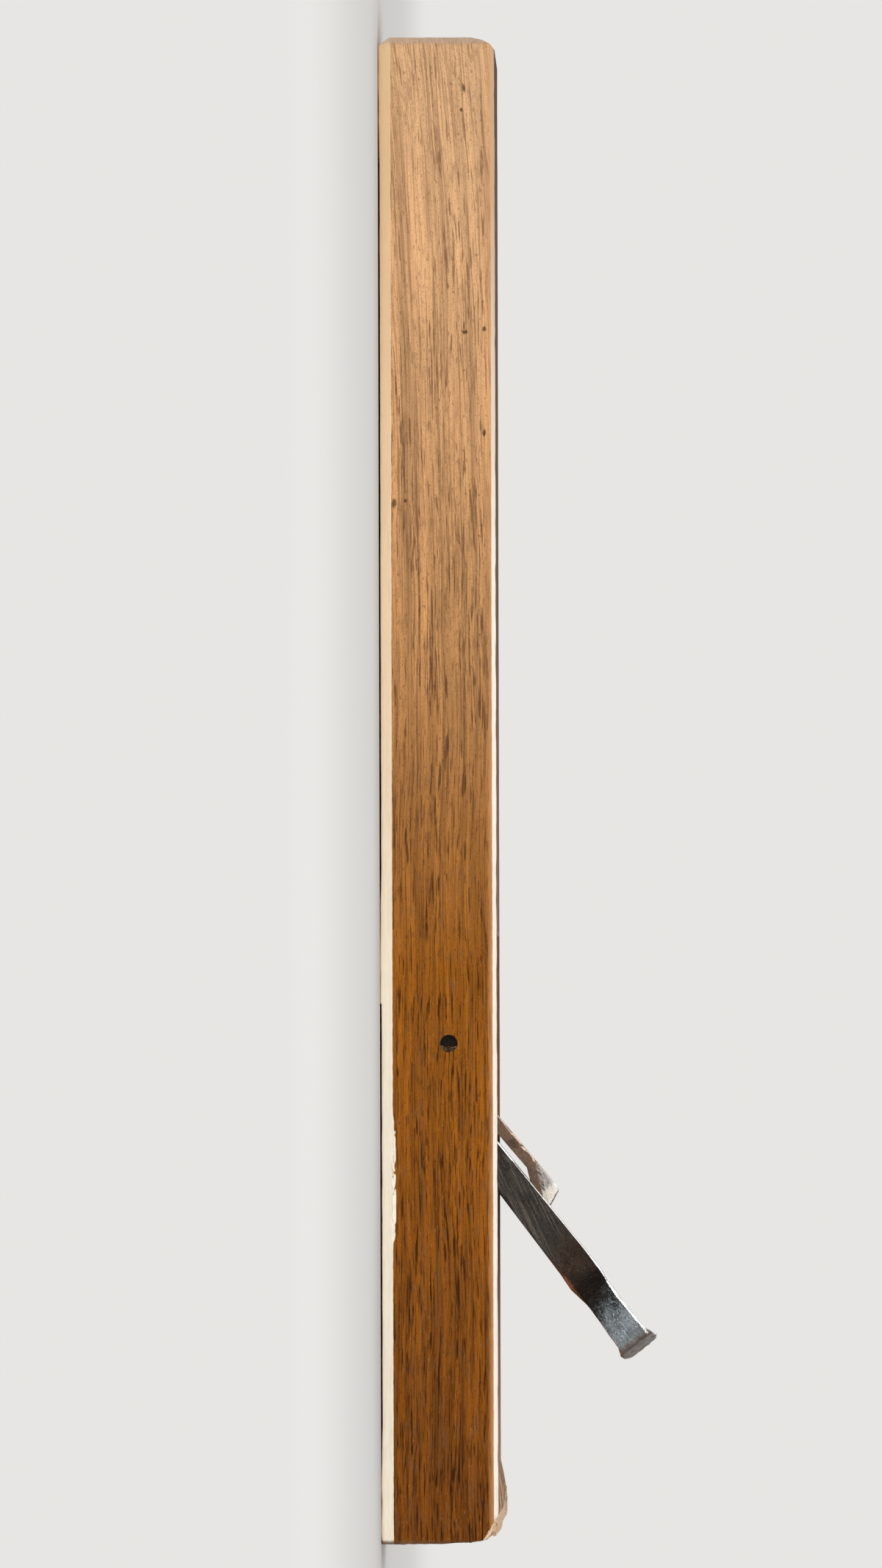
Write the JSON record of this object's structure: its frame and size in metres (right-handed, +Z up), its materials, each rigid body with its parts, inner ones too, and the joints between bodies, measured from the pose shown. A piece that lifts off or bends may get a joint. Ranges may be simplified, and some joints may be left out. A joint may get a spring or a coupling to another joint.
{
  "type": "japanese hand plane",
  "caption": "Long-bodied Japanese wooden hand plane with a wedge-fitted laminated blade, a chipbreaker and a cross pin through the throat.",
  "frame": {"origin": "middle of the sole, in the plane of its bearing strips", "axes": "+X along the body towards the struck end, +Z up from the sole to the top face, +Y across the body; the cutting edge lies across X"},
  "size_m": [0.424, 0.082, 0.0777],
  "materials": {
    "oak": "worn white oak, hand rubbed, with freshly planed sole chamfers",
    "pin_iron": "black rusted iron rod",
    "wrought_iron": "forged and filed, dark brown patina, hammered bright at the head",
    "edge_steel": "honed hard steel",
    "breaker_iron": "brown rust patina, bright where it is filed"
  },
  "bodies": {
    "body": {"dai": "oak", "cross_pin": "pin_iron"},
    "blade": {"blade_iron": "wrought_iron", "blade_steel": "edge_steel"},
    "chipbreaker": {"chipbreaker_iron": "breaker_iron", "chipbreaker_steel": "edge_steel"}
  },
  "joints": [
    {"name": "blade_slide", "type": "slide", "parent": "body", "child": "blade", "axis": [0.7986, 0, 0.6018], "range_m": [-0.0004, 0.055]},
    {"name": "chipbreaker_slide", "type": "slide", "parent": "blade", "child": "chipbreaker", "axis": [0.7771, 0, 0.6293], "range_m": [0, 0.04]}
  ]
}
